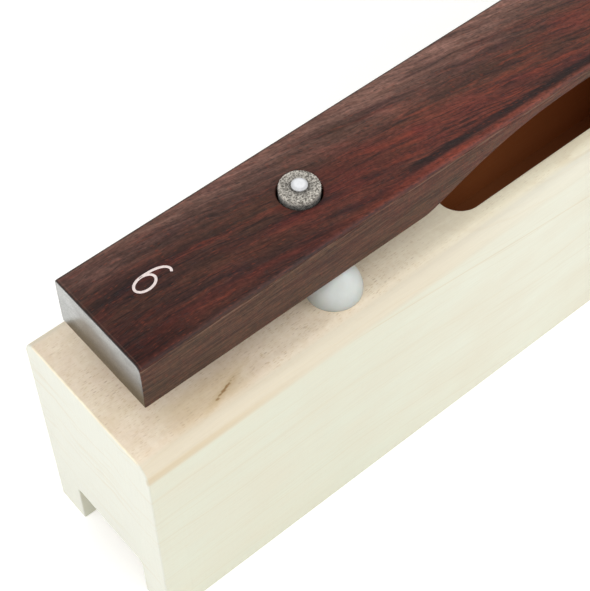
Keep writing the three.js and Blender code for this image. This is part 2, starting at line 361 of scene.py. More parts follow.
def new_group(name, kind, inputs, output, output_kind):
    """An empty node group. Its inputs have a starting number, or the kind of socket that has none."""
    group = bpy.data.node_groups.new(name, kind)
    for title, start in inputs.items():
        named_kind = start if isinstance(start, str) else {int: "Int", float: "Float"}[type(start)]
        socket = group.interface.new_socket(
            name=title, in_out="INPUT", socket_type="NodeSocket" + named_kind
        )
        if not isinstance(start, str):
            socket.default_value = start
    group.interface.new_socket(name=output, in_out="OUTPUT", socket_type="NodeSocket" + output_kind)
    tree = Tree(group)
    entry = {socket.name: Value(tree, socket) for socket in tree.add("NodeGroupInput").outputs}
    return group, tree, entry


SHARED = {}


def shared(maker):
    """What a function makes, made only once."""
    if maker not in SHARED:
        SHARED[maker] = maker()
    return SHARED[maker]


# Effects that several materials share


def long_grain():
    """Noise drawn out along X: streaks, bands or fibres, by the sizes that it is given."""
    inputs = {"Point": "Vector", "Along": 40.0, "Across": 2.0, "Through": 2.0, "Detail": 2.0, "Waviness": 0.2}
    group, tree, entry = new_group("Long Grain", "ShaderNodeTree", inputs, "Level", "Float")
    drawn = entry["Point"] / tree.combine(entry["Along"], entry["Across"], entry["Through"])
    waves = {"Vector": drawn, "Scale": 1.0, "Detail": entry["Detail"], "Distortion": entry["Waviness"]}
    tree.add("NodeGroupOutput", {"Level": tree.out("ShaderNodeTexNoise", waves)})
    return group


def short_pores():
    """Short dashes along X, some cells of a grid left empty."""
    inputs = {"Point": "Vector", "Length": 2.5, "Width": 0.3, "Share": 0.5}
    group, tree, entry = new_group("Pores", "ShaderNodeTree", inputs, "Mask", "Float")
    drawn = entry["Point"] / tree.combine(entry["Length"], entry["Width"], entry["Width"])
    cells = tree.add("ShaderNodeTexVoronoi", {"Vector": drawn, "Scale": 1.0}).outputs
    chance = tree.separate(Value(tree, cells["Color"]))[0]
    there = tree.math("LESS_THAN", chance, entry["Share"])
    dash = tree.spread(Value(tree, cells["Distance"]), 0.42, 0.18)
    tree.add("NodeGroupOutput", {"Mask": there * dash})
    return group


def mottle():
    """Soft blotches of one size, from 0 to 1."""
    inputs = {"Point": "Vector", "Size": 10.0, "Contrast": 1.0}
    group, tree, entry = new_group("Mottle", "ShaderNodeTree", inputs, "Level", "Float")
    blotches = {"Vector": entry["Point"], "Scale": 1.0 / entry["Size"], "Detail": 3.0, "Roughness": 0.6}
    level = (tree.out("ShaderNodeTexNoise", blotches) - 0.5) * (entry["Contrast"] * 2.5) + 0.5
    tree.add("NodeGroupOutput", {"Level": tree.out("ShaderNodeClamp", {0: level})})
    return group


class Surface(Tree):
    """A material's tree, with the surface point in millimetres and the shared effects at hand."""

    def __init__(self, name):
        self.material = bpy.data.materials.new(name)
        self.material.use_nodes = True
        self.material.node_tree.nodes.clear()
        super().__init__(self.material.node_tree)
        self.shader = self.add("ShaderNodeBsdfPrincipled")
        self.add("ShaderNodeOutputMaterial", {"Surface": Value(self, self.shader.outputs[0])})
        self.point = self.out("ShaderNodeTexCoord", output="Object") * (1 / MM, 1 / MM, 1 / MM)
        self.x, self.y, self.z = self.separate(self.point)

    def effect(self, maker, names, values):
        return self.out("ShaderNodeGroup", dict(zip(names, values)), node_tree=shared(maker))

    def grain(self, point, along, across, through=None, detail=2.0, waviness=0.2):
        names = ("Point", "Along", "Across", "Through", "Detail", "Waviness")
        return self.effect(long_grain, names, (point, along, across, through or across, detail, waviness))

    def dashes(self, point, length, width, share):
        return self.effect(short_pores, ("Point", "Length", "Width", "Share"), (point, length, width, share))

    def blotches(self, point, size, contrast):
        return self.effect(mottle, ("Point", "Size", "Contrast"), (point, size, contrast))

    def noise(self, scale, detail):
        return self.out("ShaderNodeTexNoise", {"Vector": self.point, "Scale": scale, "Detail": detail})

    def from_pin(self):
        """Distance from the nearer pin's axis."""
        return self.size(self.combine(abs(self.x) - PIN_X / MM, self.y))

    def finish(self, colour, roughness, height=None, depth=0.0, more=None):
        """Feeds the shader its colour, roughness and further inputs, and a bump of that depth in metres."""
        inputs = {"Base Color": colour, "Roughness": roughness, **(more or {})}
        if height:
            bump = {"Height": height, "Distance": depth, "Strength": 1.0}
            inputs["Normal"] = self.out("ShaderNodeBump", bump)
        for name, value in inputs.items():
            self.feed(self.shader.inputs[name], value)
        return self.material


def rosewood():
    look = bpy.context.scene.sound_bar_settings
    wood = Surface("Rosewood")
    point, x, y, z = wood.point, wood.x, wood.y, wood.z
    spread, mix, grain = wood.spread, wood.mix, wood.grain

    # The grain drifts towards the near edge, turns back over the left end, and wavers
    past = wood.most(-125.0 - x, 0.0)
    slide = x * look.grain_slope + past * past * (look.grain_turn / 100)
    bent = grain(point, 90, 26, detail=1.0) * 2.5 + (y + slide)
    wobble = grain(point, 11, 4) - 0.5
    flowing = wood.combine(x, wobble * 2.0 + bent, z)

    zones = grain(flowing, 60, 10, 14, waviness=0.6)
    bands = grain(flowing, 52, 4.2, 5.0, detail=3.0, waviness=0.5)
    streaks = grain(flowing, 17, 1.5, 1.7, detail=4.0, waviness=0.9)
    veins = grain(flowing, 26, 1.3, 1.5, detail=4.0, waviness=1.1)
    fibres = grain(flowing, 3.4, 0.46, 0.5, detail=3.0, waviness=0.6)
    specks = wood.blotches(point, 1.1, 1.3)
    drifts = wood.blotches(flowing * (0.35, 1.0, 1.0), 8.0, 1.4)
    pores = wood.dashes(flowing, 2.8, 0.42, 0.42)
    glints = wood.dashes(flowing + (31.0, 17.0, 5.0), 2.0, 0.4, 0.2)

    # The wood is redder towards the near edge and the middle of the bar, and a painted sheen makes it paler
    # along the far edge
    toward_middle = spread(x, -112, -45)
    toward_near = spread(y, 12, -12)
    glow = toward_middle * toward_near
    redness = glow * 0.08 + (toward_near * 0.05 + zones)
    body = mix(spread(bands, 0.32, 0.68), look.dark_wood, look.brown_wood)
    red_body = mix(spread(redness, 0.48, 0.72) * 0.64, body, look.red_wood)
    dulled = mix(drifts * spread(y, -16, 4, 0.2, 0.5), red_body, look.dull_wood)
    streak_share = spread(glow * 0.05 + streaks, 0.52, 0.74) * (glow * 0.10 + 0.24)
    streaked = mix(streak_share, dulled, look.bright_wood)
    veined = mix(spread(veins, 0.52, 0.68) * 0.66, streaked, look.vein_wood)
    streaky_sheen = spread(bands, 0.3, 0.6, 0.12, 0.6) * spread(streaks, 0.35, 0.6, 0.6, 1.15)
    sheen = spread(y, spread(x, -150, -80, 6, -1), 16) * streaky_sheen
    sheen_painted = mix(sheen, veined, look.sheen_wood)

    # One black vein with a red one beside it runs into the near edge, right of the left pin
    run = streaks * 1.6 + (x * 0.03 + y)
    red_here = spread(abs(run + 19.6), 2.0, 0.4, 0.0, 0.16) * spread(x, -118, -92)
    vein_here = spread(abs(run + 16.4), 2.0, 0.7, 0.0, 0.84) * spread(x, -84, -66)
    crossed = mix(vein_here, mix(red_here, sheen_painted, look.bright_wood), look.vein_wood)

    # The long faces are cut across the growth layers: browner, in fine straight lines
    half_width = look.width / 2 / MM
    foot = BAR_LOW.z / MM
    on_side = spread(fibres * 0.2 + (abs(y) - 0.1), half_width - 0.34, half_width - 0.2)
    lines = grain(point, 15, 1.6, 0.85, detail=5.0, waviness=1.0)
    clouds = wood.blotches(point * (0.4, 1.0, 1.0), 6.0, 1.1)
    growth = mix(spread(lines, 0.38, 0.62), look.side_dark, look.side_wood)
    tinted = mix(clouds * (toward_middle * 0.26 + 0.2), growth, look.red_wood)
    side_body = mix(spread(z, foot + 9, foot + 1, 0.0, 0.26), tinted, look.side_dark)
    sided = mix(on_side * 0.88, crossed, side_body)

    # Fibres and specks, and a painted sheen over the top: least at the left end and in its near corner, most
    # towards the middle and along the far edge
    grit = spread(fibres, 0.28, 0.72, 0.68, 1.32, "LINEAR") * spread(specks, 0, 1, 0.84, 1.16, "LINEAR")
    along_gain = spread(x, -178, -130, 0.72, 1.0) * spread(x, -86, -48, 1.0, 1.34)
    in_corner = spread(y, -9, -16) * spread(x, -146, -166)
    across_gain = spread(y, 10, 16, 1.0, 1.3) * (in_corner * -0.5 + 1.0)
    top_gain = along_gain * across_gain * spread(drifts, 0.0, 1.0, 1.14, 0.84, "LINEAR")
    gain = spread(on_side, 0.0, 1.0, top_gain, 0.98, "LINEAR")
    fibred = wood.dimmed(wood.dimmed(sided, grit), gain)
    pored = mix(pores * (on_side * -0.1 + 0.5), fibred, look.vein_wood)
    glinted = mix(glints * 0.3, pored, look.bright_wood)

    # Painted shade lines along the far edge, in the near edge's crease and along the ends' top edges
    half = look.length / 2 / MM
    top = look.top / MM
    above = spread(z, top - 1.3, top - 0.9)
    far_line = spread(y, half_width - 1.0, half_width - 0.6, 0.0, 0.7)
    near_line = spread(abs(y + (half_width - 0.5)), 0.32, 0.06, 0.0, 0.4)
    end_line = spread(abs(x), half - 0.66, half - 0.46, 0.0, 0.85)
    edge_share = wood.most(above * wood.most(far_line, end_line), near_line)
    edge_shaded = mix(edge_share, glinted, look.edge_line)

    # Painted highlights: a light line under the near edge, and one just inside the ends' top edges
    under_line = spread(abs(z - (top - 1.75)), 0.4, 0.1) * on_side * spread(lines, 0.4, 0.6, 0.0, 0.3)
    inner_line = spread(abs(abs(x) - (half - 1.0)), 0.3, 0.05, 0.0, 0.12) * above
    lined = mix(wood.most(under_line, inner_line), edge_shaded, look.side_line)

    # Ends: sealed end grain, glossier than the oiled faces. On it are painted reflections: the pale floor
    # high up and at the left end's far corner, and the shaded box top towards the lower edge, where the coat
    # is weaker too
    on_end = spread(abs(x), half - 0.22, half - 0.06)
    speckle = wood.blotches(point, 0.5, 1.0)
    rings = grain(point, 9, 5.0, 1.4, detail=3.0)
    grained = spread(speckle, 0, 1, 0.6, 1.4, "LINEAR") * spread(rings, 0.3, 0.7, 0.8, 1.2, "LINEAR")
    depth = top - z
    at_left = spread(x, 1, -1)
    high_up = spread(depth, 8, 0.5) * spread(y, -18, -8, 0.35, 0.75)
    floor_reflection = wood.most(high_up, spread(y, 5, 15) * at_left)
    past_shine = spread(y * -1.25 + (depth + 6.8), 0.5, 4)
    ledge_reflection = spread(depth, 5, 17, 0.1, 1.0) * wood.most(past_shine, 1.0 - at_left)
    reflections_painted = mix(ledge_reflection, mix(floor_reflection, look.end_grain, look.end_bloom), look.end_worn)
    streaky = spread(rings, 0.3, 0.7, 0.8, 1.0) * spread(speckle, 0, 1, 0.86, 1.0)
    seal = (ledge_reflection * -0.97 + 1.0) * streaky

    surface = mix(on_end, lined, wood.dimmed(reflections_painted, grained))
    rough = on_side * 0.16 + spread(fibres, 0.2, 0.8, 0.36, 0.54, "LINEAR")
    height = (fibres * 0.5 - pores) * (1.0 - on_end * 0.85)
    coat = {"Coat Weight": on_end * seal, "Coat Roughness": 0.27, "Coat IOR": 3.0, "Specular IOR Level": 0.22}
    return wood.finish(surface, rough, height, 0.05 * MM, coat)


def pressed_foil():
    foil = Surface("Pressed Foil")
    wear = foil.noise(1.6, 3.0)
    shade_level = foil.spread(wear, 0.3, 0.7, 0.86, 1.0)
    surface = foil.dimmed(bpy.context.scene.figure_settings.foil, shade_level)
    return foil.finish(surface, foil.spread(wear, 0.3, 0.7, 0.5, 0.36))


def shaded_raw_wood(wood, look, share):
    """Unfinished wood in the chamber, with painted shade that is darkest under the bar's middle, and a
    painted glow for the light that its walls pass on.
    """
    floor = BOTTOM_HIGH.z / MM
    high = wood.spread(wood.z, floor, floor + 12, 0.76, 1.05)
    passed = wood.spread(abs(wood.x), 75, 3, kind="LINEAR") * share * high
    glow = wood.mix(passed, (0.0, 0.0, 0.0), look.painted_inner_glow)
    wood.feed(wood.shader.inputs["Emission Color"], glow)
    wood.feed(wood.shader.inputs["Emission Strength"], 1.0)
    return wood.mix(wood.spread(abs(wood.x), 62, 8), look.inside_wood, look.deep_wood)


def pale_wood():
    look = bpy.context.scene.resonator_box_settings
    wood = Surface("Pale Wood")
    point, x, y, z = wood.point, wood.x, wood.y, wood.z
    spread, mix, blotches = wood.spread, wood.mix, wood.blotches
    half = END_HIGH.x / MM
    top = TOP_HIGH.z / MM
    on_end = spread(abs(x), half - 0.75, half - 0.15)
    on_top = spread(z, top - 1.2, top - 0.05)

    # Patches: greenish cream to pinkish cream, over centimetres, and a brown one by the bar's left corner
    patches = blotches(point * (0.5, 1.0, 1.0), 16.0, 1.0)
    rounding = spread(z, top - 10, top - 5) * spread(abs(y), 20, 25)
    fading = spread(x, -160, -115, 0.95, 0.85) * spread(x, -85, -15, 1.0, 0.45)
    warmth = wood.most(patches * 0.35, rounding * fading)
    walls = mix(spread(abs(x), 120, 20), look.side_wood, look.pale_side)
    body = mix(on_end, mix(warmth, walls, look.warm_wood), look.end_wood)
    # The top face turns paler towards the middle: partly its own tone, partly painted light that lifts the
    # bar's shadow there
    top_tone_and_light = mix(spread(x, -125, -30), look.top_wood, look.pale_top)
    pinkish = blotches(point, 7.0, 1.3) * spread(x, -60, -140, 0.05, 0.28)
    brownish = spread(abs(y + 21.5), 7.0, 3.0, 0.0, 0.42) * spread(abs(x + 156.0), 20.0, 8.0)
    clouded = mix(brownish, mix(pinkish, top_tone_and_light, look.pink_wood), look.line_wood)
    # Painted highlight: the ends' top arris is paled
    on_arris = on_top * spread(abs(x), half - 0.5, half - 0.3)
    topped = mix(on_arris * 0.7, mix(on_top, body, clouded), look.pale_top)

    # Growth lines: level near the top edge, then sinking towards the middle of the box
    drift = wood.grain(point, 60, 14)
    level = z + spread(x, -105, -10, 0.0, 11.0) + drift * 7.0
    lines = wood.grain(wood.combine(x, y, level), 400, 30, 1.5, detail=3.0, waviness=0.0)

    # One distinct line of its own on the near side, and a soft painted shade along the foot of the left
    # rounding
    own_line = x * 0.13 + (z + (21.1 - top))
    off_line = abs(drift * 1.6 + (own_line - 0.8))
    on_near = spread(y, -29.5, -30.4) * spread(x, -112, -96)
    own_share = spread(off_line, 0.55, 0.05) * on_near * 0.3
    foot_shade_here = spread(abs(y), 29.4, 30.2, 0.0, 0.38) * spread(x, -112, -170)
    foot_shade_share = spread(abs(z + (5.9 - top)), 2.4, 0.5) * foot_shade_here
    line_and_shade_share = wood.most(spread(lines, 0.52, 0.76) * 0.20, wood.most(own_share, foot_shade_share))
    lined = mix(line_and_shade_share, topped, look.line_wood)

    # Flecks: short dashes along the boards, upright on the end faces, fewer towards the right
    upright = wood.combine(z, y, x)
    along = wood.out("ShaderNodeMix", {0: on_end, 4: point, 5: upright}, 1, data_type="VECTOR")
    flecks = wood.dashes(along, 1.9, 0.34, 0.55)
    dots = wood.dashes(along + (7.0, 3.0, 1.0), 2.1, 0.55, 0.22)
    cloudy = blotches(point, 11.0, 1.2)
    toward_right = spread(x, -105, -60, 1.0, 0.4)
    fleck_level = (on_top * 0.5 + 0.10) * (cloudy + 0.2) * toward_right
    flecked = mix(flecks * fleck_level, lined, look.line_wood)
    dotted = mix(dots * on_top * (cloudy * 0.45 * toward_right), flecked, look.mark)
    mottled = mix(blotches(point, 2.2, 1.6) * (on_top * (toward_right * 0.2)), dotted, look.line_wood)
    fibres = wood.grain(along, 16, 0.5)
    fibred = wood.dimmed(mottled, spread(fibres, 0.25, 0.75, 0.965, 1.02, "LINEAR"))

    # One small bark mark on the top, near the left end
    to_mark = {"Vector": point - (-149.6, -22.7, top), "Angle": math.radians(-19)}
    mark_place = wood.out("ShaderNodeVectorRotate", to_mark, rotation_type="Z_AXIS")
    mark_reach = wood.size(mark_place / (6.8, 0.75, 2.0)) + wood.grain(point, 1.3, 0.7) * 2.0
    haloed = mix(spread(mark_reach, 3.4, 1.5, 0.0, 0.45), fibred, look.line_wood)
    marked = mix(spread(mark_reach, 1.85, 1.15, 0.0, 0.85), haloed, look.mark)

    # Inside the box the wood is raw, painted darker as shade, with a painted glow
    inside = SIDE_LOW.y / MM
    foot = BOTTOM_LOW.z / MM
    in_width = spread(abs(y), inside + 0.3, inside + 0.05)
    in_length = spread(abs(x), half - 9.5, half - 10.2)
    in_height = spread(z, top - 0.5, top - 1.4) * spread(z, foot, foot + 0.5)
    indoors = in_width * in_length * in_height
    surface = mix(indoors, marked, shaded_raw_wood(wood, look, indoors))
    rough = spread(fibres, 0.2, 0.8, 0.5, 0.66, "LINEAR")
    return wood.finish(surface, rough, fibres - flecks, 0.02 * MM, {"Specular IOR Level": 0.4})


def plywood():
    look = bpy.context.scene.resonator_box_settings
    wood = Surface("Plywood")
    grain = wood.grain(wood.point, 60, 3.0, detail=3.0)
    fibres = wood.grain(wood.point, 18, 0.6)
    body = wood.mix(wood.spread(grain, 0.35, 0.7, 0.0, 0.5), look.ply, look.line_wood)
    # Its upper face, inside the chamber, takes the chamber's painted shade, dimmed further as painted shade,
    # and its painted glow
    high = BOTTOM_HIGH.z / MM
    upper = wood.spread(wood.z, high - 0.4, high - 0.1)
    chamber_shaded = wood.mix(upper, body, wood.dimmed(shaded_raw_wood(wood, look, upper), 0.7))
    surface = wood.dimmed(chamber_shaded, wood.spread(fibres, 0.25, 0.75, 0.93, 1.05, "LINEAR"))
    return wood.finish(surface, wood.spread(grain, 0.2, 0.8, 0.66, 0.8), fibres, 0.04 * MM)


def plated_steel():
    metal = Surface("Plated Steel")
    wear = metal.noise(1.4, 4.0)
    # Patchy wear, and painted shade darkening the head towards its rim
    wear_and_rim_shade = metal.spread(wear, 0.3, 0.7, 0.93, 1.0) * metal.spread(metal.from_pin(), 1.3, 2.5, 1.0, 0.6)
    surface = metal.dimmed(bpy.context.scene.fitting_settings.steel, wear_and_rim_shade)
    return metal.finish(surface, metal.spread(wear, 0.3, 0.7, 0.46, 0.34), wear, 0.02 * MM, {"Metallic": 0.2})


def wool_felt():
    look = bpy.context.scene.fitting_settings
    wool = Surface("Wool Felt")
    point, z, spread = wool.point, wool.z, wool.spread
    clumps = wool.blotches(point, 0.62, 1.6)
    wisps = wool.blotches(point * (1.0, 2.2, 1.6), 0.4, 1.3)
    level = clumps * 0.6 + wisps * 0.4
    base = wool.mix(spread(level, 0.2, 0.72), look.felt_dark, look.felt_light)

    # Painted shade round the pin and on the wall inside the bar's hole, weaker further down; lighter at the
    # outer rim
    high = FELT_HIGH.z / MM
    from_pin = wool.from_pin()
    pin_shade_and_rim = spread(from_pin, 2.3, 3.9, 0.45, 1.0) * spread(from_pin, 4.8, 6.1, 1.0, 1.12)
    hole_shade = spread(z, high - 2.3, high - 0.5, 0.22, 1.0)
    lower_shade = spread(z, high - 4, high - 9, 0.22, 0.75)
    patchy = spread(wool.blotches(point, 2.2, 1.4), 0, 1, 0.86, 1.1)
    surface = wool.dimmed(base, wool.most(hole_shade, lower_shade) * pin_shade_and_rim * patchy)
    nap = {"Specular IOR Level": 0.1, "Sheen Weight": 0.25, "Sheen Roughness": 0.5}
    return wool.finish(surface, spread(level, 0.0, 1.0, 0.98, 0.86), level, 0.25 * MM, nap)


def soft_rubber():
    rubber = Surface("White Rubber")
    foot = TOP_HIGH.z / MM
    cloud = rubber.blotches(rubber.point, 3.0, 0.8)
    # Cloudy, with painted shade darkening it towards its foot
    cloud_and_foot_shade = rubber.spread(cloud, 0, 1, 0.95, 1.0) * rubber.spread(rubber.z, foot, foot + 7, 0.76, 1.0)
    surface = rubber.dimmed(bpy.context.scene.fitting_settings.rubber, cloud_and_foot_shade)
    depth = {"Subsurface Weight": 0.25, "Subsurface Scale": 2 * MM}
    return rubber.finish(surface, rubber.spread(cloud, 0, 1, 0.42, 0.34), cloud, 0.02 * MM, depth)


# Making meshes


def link(name, data):
    piece = bpy.data.objects.new(name, data)
    bpy.context.scene.collection.objects.link(piece)
    return piece


def solid(name, shape):
    """An object made of a bmesh, with its faces turned outwards."""
    bmesh.ops.recalc_face_normals(shape, faces=shape.faces)
    mesh = bpy.data.meshes.new(name)
    shape.to_mesh(mesh)
    shape.free()
    return link(name, mesh)


def prism(name, outline, axis, low, high):
    """A flat outline pushed from low to high along an axis: X takes points (y, z), Z takes (x, y)."""
    shape = bmesh.new()
    lower, upper = (
        [shape.verts.new((at, *p) if axis == "X" else (*p, at)) for p in outline] for at in (low, high)
    )
    shape.faces.new(lower)
    shape.faces.new(upper)
    count = len(outline)
    for i in range(count):
        k = (i + 1) % count
        shape.faces.new((lower[i], lower[k], upper[k], upper[i]))
    return solid(name, shape)


def block(name, low, high):
    corners = [(low[0], low[1]), (high[0], low[1]), (high[0], high[1]), (low[0], high[1])]
    return prism(name, corners, "Z", low[2], high[2])


def arc(centre, radius, start, end, steps):
    """Points on an arc, angles in quarter turns."""
    angles = [math.pi / 2 * (start + (end - start) * step / steps) for step in range(steps + 1)]
    return [(centre[0] + radius * math.cos(angle), centre[1] + radius * math.sin(angle)) for angle in angles]


def cylinder(name, diameter, x, y, low, high, steps):
    return prism(name, arc((x, y), diameter / 2, 0, 4 - 4 / steps, steps - 1), "Z", low, high)


def loaf(width, low, high, radius, steps):
    """A flat-bottomed outline with two rounded upper corners."""
    half = width / 2
    right = arc((half - radius, high - radius), radius, 0, 1, steps)
    left = arc((radius - half, high - radius), radius, 1, 2, steps)
    return [(-half, low), (half, low), *right, *left]


def rounded_rectangle(length, width, radius, steps=14):
    x = length / 2 - radius
    y = width / 2 - radius
    corners = [(x, y, 0), (-x, y, 1), (-x, -y, 2), (x, -y, 3)]
    return [p for cx, cy, start in corners for p in arc((cx, cy), radius, start, start + 1, steps)]


def turned(name, profile, x, y, z, steps):
    """A profile of (radius, height) points turned about an upright axis at x, y, with height 0 at z."""
    shape = bmesh.new()
    turns = [2 * math.pi * step / steps for step in range(steps)]
    rings = []
    for radius, height in profile:
        if radius == 0:
            rings.append([shape.verts.new((x, y, z + height))] * steps)
            continue
        places = [(x + radius * math.cos(turn), y + radius * math.sin(turn), z + height) for turn in turns]
        rings.append([shape.verts.new(p) for p in places])
    if profile[0] == profile[-1]:
        for vertex in rings[-1]:
            shape.verts.remove(vertex)
        rings[-1] = rings[0]
    for lower, upper in zip(rings, rings[1:]):
        for i in range(steps):
            k = (i + 1) % steps
            corners = dict.fromkeys((lower[i], lower[k], upper[k], upper[i]))
            shape.faces.new(list(corners))
    return solid(name, shape)


def real_mesh(piece):
    """A new plain mesh of what an object and its modifiers show."""
    depsgraph = bpy.context.evaluated_depsgraph_get()
    return bpy.data.meshes.new_from_object(piece.evaluated_get(depsgraph), depsgraph=depsgraph)


def made_plain(piece):
    """Puts what the piece's modifiers make into its own mesh, and takes the modifiers off."""
    mesh = real_mesh(piece)
    piece.modifiers.clear()
    piece.data = mesh


def grown(piece, tree, settings, values):
    """Lets a geometry tree make the piece. Inputs come from values, or from the setting of the same name."""
    modifier = piece.modifiers.new(tree.name, "NODES")
    modifier.node_group = tree
    for item in tree.interface.items_tree:
        if item.in_out == "INPUT" and item.socket_type != "NodeSocketGeometry":
            setting = item.name.lower().replace(" ", "_")
            given = item.name in values
            modifier[item.identifier] = values[item.name] if given else getattr(settings, setting)
    made_plain(piece)
    if not piece.data.polygons:
        raise RuntimeError(f"the tree {tree.name} made no faces")


def cut(piece, tools):
    """Cuts the tools out of the piece, one after the other, and removes them."""
    for tool in tools:
        modifier = piece.modifiers.new("Cut", "BOOLEAN")
        modifier.operation = "DIFFERENCE"
        modifier.solver = "EXACT"
        modifier.object = tool
    made_plain(piece)
    for tool in tools:
        bpy.data.objects.remove(tool)


def ease(piece, width, chosen):
    """Rounds each sharp edge, to the share of the width that chosen(middle, direction) gives it."""
    shape = bmesh.new()
    shape.from_mesh(piece.data)
    bmesh.ops.remove_doubles(shape, verts=shape.verts, dist=0.001 * MM)
    bmesh.ops.dissolve_degenerate(shape, edges=shape.edges, dist=0.001 * MM)
    layers = shape.edges.layers.float
    weight = layers.get("bevel_weight_edge") or layers.new("bevel_weight_edge")
    sharp = math.radians(35)
    for edge in shape.edges:
        if len(edge.link_faces) == 2 and edge.calc_face_angle() > sharp:
            first, second = (vertex.co for vertex in edge.verts)
            edge[weight] = chosen((first + second) / 2, (second - first).normalized())
    shape.to_mesh(piece.data)
    shape.free()
    modifier = piece.modifiers.new("Ease", "BEVEL")
    modifier.limit_method = "WEIGHT"
    modifier.width = width
    modifier.segments = 3
    made_plain(piece)


def shade(piece, sharp_degrees=35):
    """Smooth shading on curved faces, flat on faces square to an axis, with sharp edges kept."""
    square = math.cos(math.radians(0.4))
    for face in piece.data.polygons:
        face.use_smooth = max(abs(part) for part in face.normal) < square
    piece.data.set_sharp_from_angle(angle=math.radians(sharp_degrees))


def dress(piece, material, slot, body, *nodes):
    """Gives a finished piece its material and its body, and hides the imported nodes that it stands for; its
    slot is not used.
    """
    piece.data.materials.clear()
    piece.data.materials.append(material)
    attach(piece, body)
    if nodes:
        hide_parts(*nodes)


# Sound bar


def tuned_bar():
    """A section swept along the bar, its underside planed by the undercut's formula, drilled for the pins."""
    inputs = {
        "Length": 0.35,
        "Width": 0.04,
        "Thickness": 0.019,
        "Underside": 0.1,
        "Near Radius": 0.003,
        "Far Radius": 0.001,
        "Stations": 280,
        "Undercut Half": 0.07,
        "Undercut Depth": 0.014,
        "Undercut Fullness": 2.8,
        "Undercut Softness": 1.4,
        "Hole Diameter": 0.013,
        "Hole Chamfer": 0.0003,
        "Hole Place": 0.1,
        "Material": "Material",
    }
    group, tree, entry = new_group("Tuned Bar", "GeometryNodeTree", inputs, "Geometry", "Geometry")
    thickness = entry["Thickness"]
    chamfer = entry["Hole Chamfer"]

    # Section, with the corners rounded that the sweep turns uppermost
    quad = {"Width": entry["Width"], "Height": thickness}
    section = tree.out("GeometryNodeCurvePrimitiveQuadrilateral", quad)
    across, down, _ = tree.separate(tree.out("GeometryNodeInputPosition"))
    near = tree.compare("GREATER_THAN", across, 0.0)
    own = near * (entry["Near Radius"] - entry["Far Radius"]) + entry["Far Radius"]
    corners = {"Curve": section, "Count": 16, "Radius": tree.compare("LESS_THAN", down, 0.0) * own}
    rounded = tree.out("GeometryNodeFilletCurve", corners, mode="POLY")

    # Swept along the bar
    half_length = entry["Length"] * 0.5
    ends = {"Start": tree.combine(half_length * -1.0), "End": tree.combine(half_length)}
    line = tree.out("GeometryNodeCurvePrimitiveLine", ends)
    stations = tree.out("GeometryNodeResampleCurve", {"Curve": line, "Count": entry["Stations"]})
    upright = tree.out("GeometryNodeSetCurveNormal", {"Curve": stations}, mode="Z_UP")
    sweep = {"Curve": upright, "Profile Curve": rounded, "Fill Caps": True}
    swept = tree.out("GeometryNodeCurveToMesh", sweep)
    merged = tree.out("GeometryNodeMergeByDistance", {"Geometry": swept, "Distance": 1e-6})

    # Underside: depth * (1 - |x / half| ^ fullness) ^ softness, planed away
    x, _, z = tree.separate(tree.out("GeometryNodeInputPosition"))
    reach = tree.least(abs(x) / entry["Undercut Half"], 1.0)
    arch = 1.0 - tree.math("POWER", reach, entry["Undercut Fullness"])
    planed = entry["Undercut Depth"] * tree.math("POWER", arch, entry["Undercut Softness"])
    below = tree.compare("LESS_THAN", z, thickness * -0.4)
    planing = {"Geometry": merged, "Selection": below, "Offset": tree.combine(0.0, 0.0, planed)}
    bored = tree.out("GeometryNodeSetPosition", planing)

    # Pin holes, chamfered above and below
    hole_radius = entry["Hole Diameter"] * 0.5
    shaft = {"Vertices": 96, "Radius": hole_radius, "Depth": thickness * 1.5}
    drill = tree.out("GeometryNodeMeshCylinder", shaft, "Mesh")
    depth = thickness * 0.1 + chamfer
    flare = {"Vertices": 96, "Radius Top": hole_radius + depth, "Radius Bottom": hole_radius, "Depth": depth}
    cone = tree.out("GeometryNodeMeshCone", flare, "Mesh")
    half_thickness = thickness * 0.5
    lift = tree.combine(0.0, 0.0, half_thickness - chamfer)
    upper = tree.out("GeometryNodeTransform", {"Geometry": cone, "Translation": lift})
    lower = tree.out("GeometryNodeTransform", {"Geometry": upper, "Rotation": (math.pi, 0.0, 0.0)})
    cones = tree.out("GeometryNodeJoinGeometry", {0: [upper, lower]})
    first = tree.combine(entry["Hole Place"] * -1.0)
    step = tree.combine(entry["Hole Place"] * 2.0)
    places = tree.out("GeometryNodeMeshLine", {"Count": 2, "Start Location": first, "Offset": step})
    for tool in (drill, cones):
        pair = tree.out("GeometryNodeInstanceOnPoints", {"Points": places, "Instance": tool})
        real_pair = tree.out("GeometryNodeRealizeInstances", {"Geometry": pair})
        meshes = {"Mesh 1": bored, "Mesh 2": real_pair}
        bored = tree.out("GeometryNodeMeshBoolean", meshes, "Mesh", operation="DIFFERENCE", solver="EXACT")

    middle = tree.combine(0.0, 0.0, entry["Underside"] + half_thickness)
    lifted = tree.out("GeometryNodeTransform", {"Geometry": bored, "Translation": middle})
    tree.close(lifted, entry["Material"])
    return group


class RESONATOR_OT_sound_bar(bpy.types.Operator):
    """Makes the tuned rosewood bar from its section and its undercut"""

    bl_idname = "resonator.sound_bar"
    bl_label = "Sound Bar"

    def execute(self, context):
        size = context.scene.sound_bar_settings
        material = shared(rosewood)
        piece = link("rosewood_bar", bpy.data.meshes.new("rosewood_bar"))
        values = {"Underside": BAR_LOW.z, "Hole Place": PIN_X, "Material": material}
        grown(piece, tuned_bar(), size, values)
        top = BAR_LOW.z + size.thickness

        def chosen(middle, direction):
            if abs(middle.x) > size.length / 2 - TOUCH:
                return 1.0 if middle.z > top - 1.5 * size.near_radius else 0.45
            return 0.3 if middle.z < top - size.near_radius and abs(middle.y) > 0.49 * size.width else 0.0

        ease(piece, size.arris, chosen)
        shade(piece)
        dress(piece, material, "rosewood", "bar", "sound_bar")
        return {"FINISHED"}


